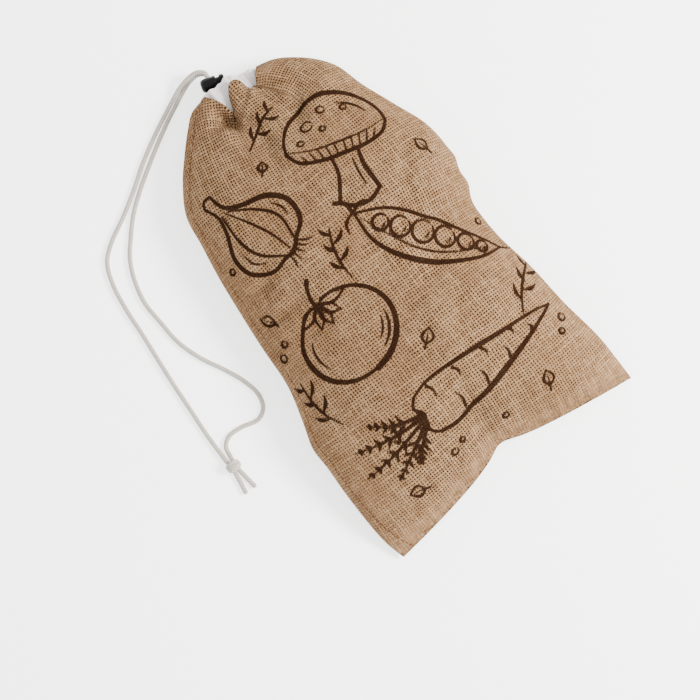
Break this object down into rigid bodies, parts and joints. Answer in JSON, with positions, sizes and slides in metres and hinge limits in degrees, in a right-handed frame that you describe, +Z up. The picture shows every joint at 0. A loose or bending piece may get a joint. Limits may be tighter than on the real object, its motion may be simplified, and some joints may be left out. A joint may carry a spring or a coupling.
{
  "type": "drawstring produce bag",
  "caption": "Jute drawstring bag lying filled, its gathered neck on a cotton tunnel with a drawcord, a sprung cord lock and a knotted end.",
  "frame": {"origin": "in the flat underside, below the middle of the belly", "axes": "+Y from the bottom seam to the mouth, +X across the bag, +Z up"},
  "size_m": [0.2881, 0.3929, 0.062],
  "materials": {
    "jute": "natural tan jute in an open plain weave, printed in dark brown",
    "cotton": "off-white cotton, matt",
    "cord": "off-white braided cotton cord",
    "lock": "black moulded plastic, half gloss"
  },
  "bodies": {
    "bag": {"jute_front_panel": "jute", "jute_back_panel": "jute", "cotton_tunnel": "cotton", "drawcord_in_tunnel": "cord", "drawcord_outer_strand": "cord", "drawcord_inner_strand": "cord", "drawcord_knot": "cord", "cord_lock_barrel": "lock"},
    "plunger": {"cord_lock_plunger": "lock"}
  },
  "joints": [
    {"name": "plunger_press", "type": "slide", "parent": "bag", "child": "plunger", "axis": [-0.9622, 0.2723, 0], "range_m": [0, 0.0025], "stiffness_N_per_m": 600}
  ]
}
